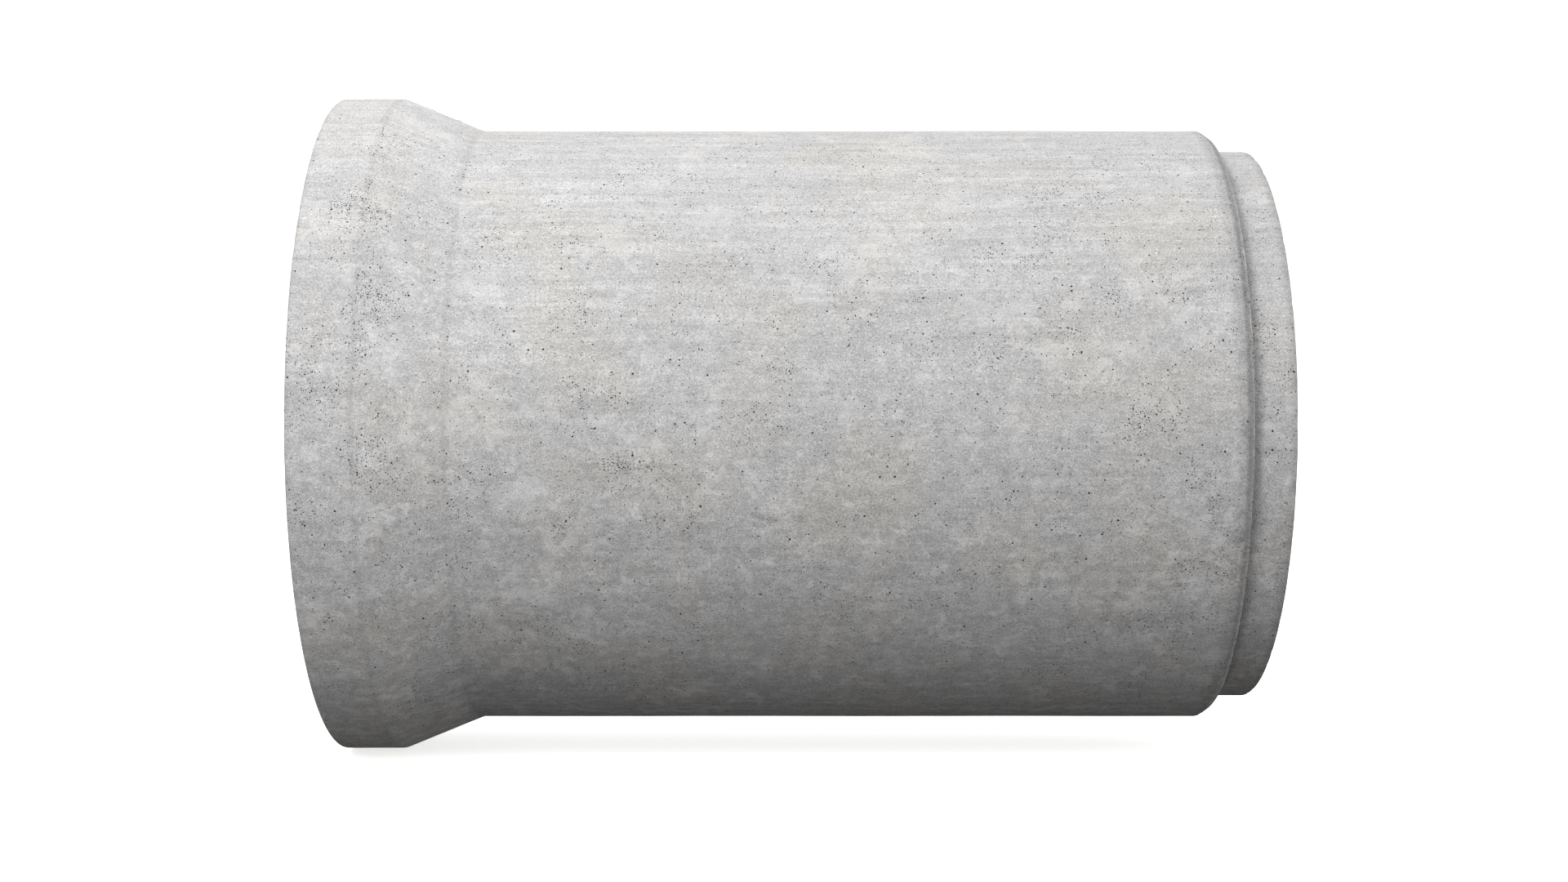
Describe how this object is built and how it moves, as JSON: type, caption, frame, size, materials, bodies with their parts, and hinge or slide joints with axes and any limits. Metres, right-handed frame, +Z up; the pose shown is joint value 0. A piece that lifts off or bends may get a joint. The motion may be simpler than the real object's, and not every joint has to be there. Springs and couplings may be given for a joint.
{
  "type": "concrete pipe",
  "caption": "Precast reinforced concrete pipe lying on its side, with a thick bell and socket at one end and a stepped spigot at the other.",
  "frame": {"origin": "on the line that the pipe rests on, under the middle of its length: centre of the bottom of its box", "axes": "+X along the pipe from bell to spigot, +Z up through the crown and the lifting anchors, +Y to the side"},
  "size_m": [2.5644, 1.8686, 1.8686],
  "materials": {
    "concrete": "matte",
    "reinforcing_steel": "matte",
    "spacer_plastic": "matte",
    "anchor_steel": "satin"
  },
  "bodies": {
    "root": {"bell_hoop_1": "reinforcing_steel", "bell_hoop_2": "reinforcing_steel", "cage_spacer_1": "spacer_plastic", "cage_spacer_2": "spacer_plastic", "cage_spacer_3": "spacer_plastic", "cage_spacer_4": "spacer_plastic", "cage_spacer_5": "spacer_plastic", "cage_spacer_6": "spacer_plastic", "cage_spacer_7": "spacer_plastic", "cage_spacer_8": "spacer_plastic", "cage_spacer_9": "spacer_plastic", "cage_spacer_10": "spacer_plastic", "cage_spacer_11": "spacer_plastic", "cage_spacer_12": "spacer_plastic", "concrete_casting": "concrete", "inner_bar_1": "reinforcing_steel", "inner_bar_2": "reinforcing_steel", "inner_bar_3": "reinforcing_steel", "inner_bar_4": "reinforcing_steel", "inner_bar_5": "reinforcing_steel", "inner_bar_6": "reinforcing_steel", "inner_bar_7": "reinforcing_steel", "inner_bar_8": "reinforcing_steel", "inner_hoop_1": "reinforcing_steel", "inner_hoop_2": "reinforcing_steel", "inner_hoop_3": "reinforcing_steel", "inner_hoop_4": "reinforcing_steel", "inner_hoop_5": "reinforcing_steel", "inner_hoop_6": "reinforcing_steel", "inner_hoop_7": "reinforcing_steel", "inner_hoop_8": "reinforcing_steel", "inner_hoop_9": "reinforcing_steel", "lifting_anchor_bell_end": "anchor_steel", "lifting_anchor_spigot_end": "anchor_steel", "outer_bar_1": "reinforcing_steel", "outer_bar_2": "reinforcing_steel", "outer_bar_3": "reinforcing_steel", "outer_bar_4": "reinforcing_steel", "outer_bar_5": "reinforcing_steel", "outer_bar_6": "reinforcing_steel", "outer_bar_7": "reinforcing_steel", "outer_bar_8": "reinforcing_steel", "outer_hoop_1": "reinforcing_steel", "outer_hoop_2": "reinforcing_steel", "outer_hoop_3": "reinforcing_steel", "outer_hoop_4": "reinforcing_steel", "outer_hoop_5": "reinforcing_steel", "outer_hoop_6": "reinforcing_steel", "outer_hoop_7": "reinforcing_steel", "outer_hoop_8": "reinforcing_steel"}
  },
  "joints": []
}
